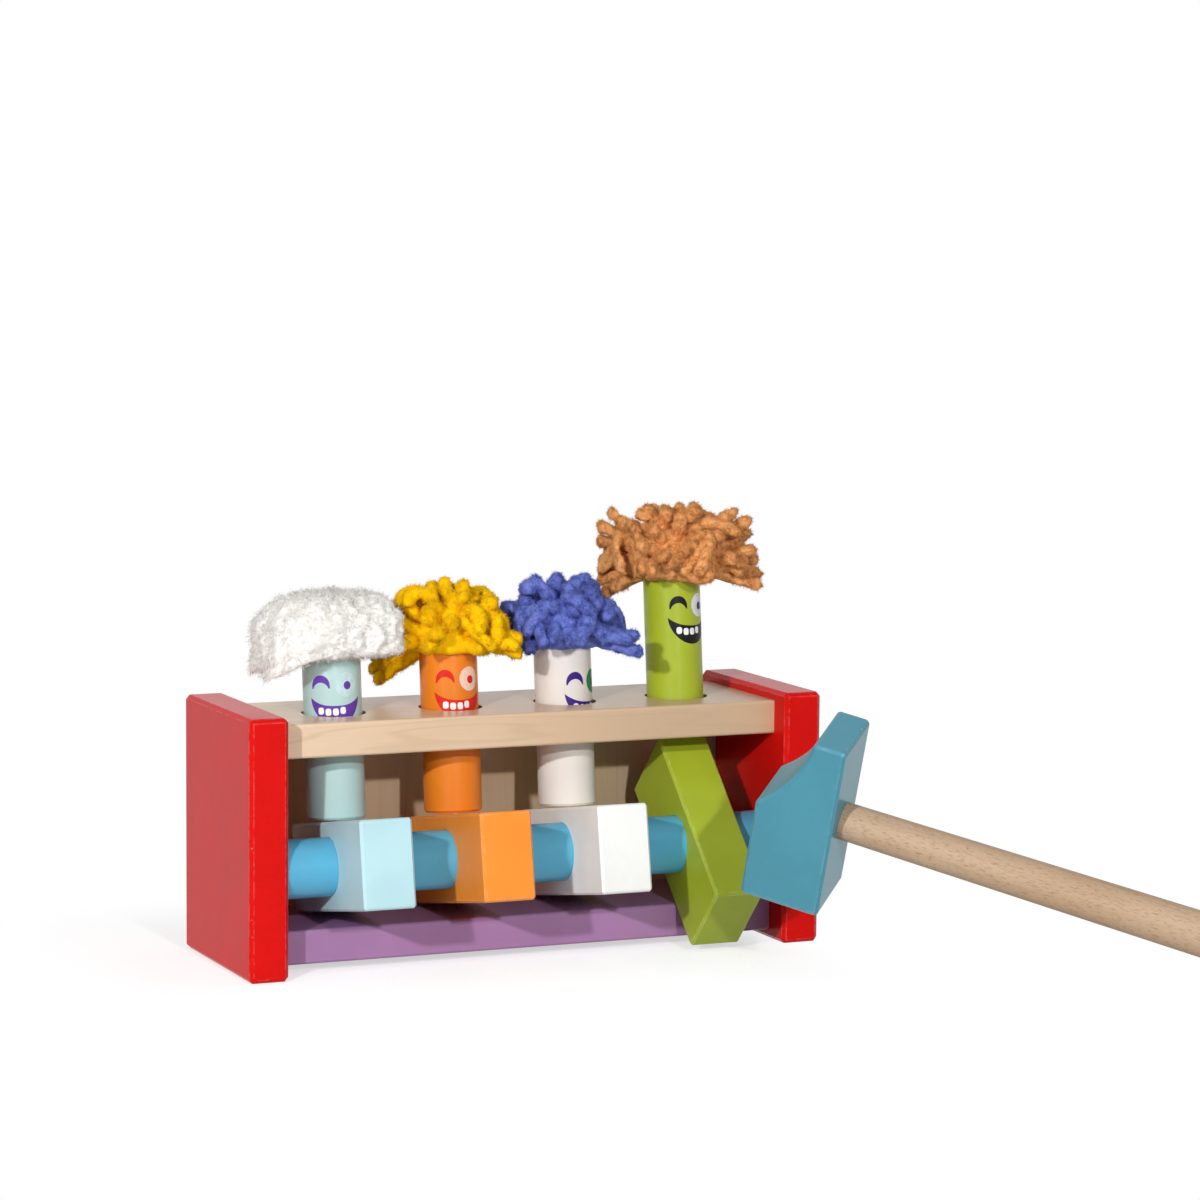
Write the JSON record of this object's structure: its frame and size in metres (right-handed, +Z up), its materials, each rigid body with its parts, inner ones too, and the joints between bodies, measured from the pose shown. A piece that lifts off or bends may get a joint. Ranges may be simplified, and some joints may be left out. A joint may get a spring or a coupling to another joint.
{
  "type": "pop-up hammer bench toy",
  "caption": "Wooden hammer bench toy: striking a lever at the front tips it on a rod and pops up a smiling peg with a mop of yarn hair. A wooden hammer lies in front.",
  "frame": {"origin": "on the floor, at the middle of the left end panel's underside", "axes": "+X to the right as seen from the lever side, +Y to the back, +Z up"},
  "size_m": [0.3742, 0.3039, 0.1713],
  "materials": {
    "red_paint": "red paint, satin",
    "maple": "clear satin lacquer",
    "purple_paint": "purple paint, satin",
    "blue_stain": "blue paint, satin",
    "light_blue_paint": "light blue paint, satin",
    "orange_paint": "orange paint, satin",
    "white_paint": "white paint, satin",
    "green_paint": "light green paint, satin",
    "white_yarn": "fluffy white yarn",
    "yellow_yarn": "fluffy yellow yarn",
    "blue_yarn": "fluffy blue yarn",
    "brown_yarn": "fluffy light brown yarn",
    "teal_paint": "teal paint, satin",
    "beech": "bare beech, fine brown flecks"
  },
  "bodies": {
    "bench": {"end_panel_left": "red_paint", "end_panel_right": "red_paint", "top_board": "maple", "base_board": "purple_paint", "back_board": "maple", "pivot_rod": "blue_stain"},
    "lever_light_blue": {"lever_light_blue": "light_blue_paint"},
    "lever_orange": {"lever_orange": "orange_paint"},
    "lever_white": {"lever_white": "white_paint"},
    "lever_green": {"lever_green": "green_paint"},
    "peg_light_blue": {"peg_light_blue": "light_blue_paint", "hair_white": "white_yarn", "hair_tie_white": "white_yarn"},
    "peg_orange": {"peg_orange": "orange_paint", "hair_yellow": "yellow_yarn", "hair_tie_yellow": "yellow_yarn"},
    "peg_white": {"peg_white": "white_paint", "hair_blue": "blue_yarn", "hair_tie_blue": "blue_yarn"},
    "peg_green": {"peg_green": "green_paint", "hair_brown": "brown_yarn", "hair_tie_brown": "brown_yarn"},
    "hammer": {"hammer_head": "teal_paint", "hammer_handle": "beech"}
  },
  "joints": [
    {"name": "light_blue_lever_tilt", "type": "hinge", "parent": "bench", "child": "lever_light_blue", "pos_m": [0.03845, -0.026, 0.0405], "axis": [1, 0, 0], "range_deg": [0, 53.8]},
    {"name": "orange_lever_tilt", "type": "hinge", "parent": "bench", "child": "lever_orange", "pos_m": [0.08665, -0.026, 0.0405], "axis": [1, 0, 0], "range_deg": [0, 53.8]},
    {"name": "white_lever_tilt", "type": "hinge", "parent": "bench", "child": "lever_white", "pos_m": [0.13485, -0.026, 0.0405], "axis": [1, 0, 0], "range_deg": [0, 53.8]},
    {"name": "green_lever_tilt", "type": "hinge", "parent": "bench", "child": "lever_green", "pos_m": [0.18305, -0.026, 0.0405], "axis": [1, 0, 0], "range_deg": [-53.8, 0]},
    {"name": "light_blue_peg_rise", "type": "slide", "parent": "bench", "child": "peg_light_blue", "axis": [0, 0.1045, 0.9945], "range_m": [0, 0.02873]},
    {"name": "orange_peg_rise", "type": "slide", "parent": "bench", "child": "peg_orange", "axis": [0, 0.1045, 0.9945], "range_m": [0, 0.02873]},
    {"name": "white_peg_rise", "type": "slide", "parent": "bench", "child": "peg_white", "axis": [0, 0.1045, 0.9945], "range_m": [0, 0.02873]},
    {"name": "green_peg_rise", "type": "slide", "parent": "bench", "child": "peg_green", "axis": [0, 0.1045, 0.9945], "range_m": [-0.02037, 0]},
    {"name": "hammer_lift", "type": "slide", "parent": "bench", "child": "hammer", "axis": [0, 0, 1], "range_m": [0, 0.15]}
  ],
  "couplings": [
    {"joint": "light_blue_lever_tilt", "follows": "light_blue_peg_rise", "rad_per_m": 32.68},
    {"joint": "orange_lever_tilt", "follows": "orange_peg_rise", "rad_per_m": 32.68},
    {"joint": "white_lever_tilt", "follows": "white_peg_rise", "rad_per_m": 32.68},
    {"joint": "green_lever_tilt", "follows": "green_peg_rise", "rad_per_m": 46.08}
  ]
}
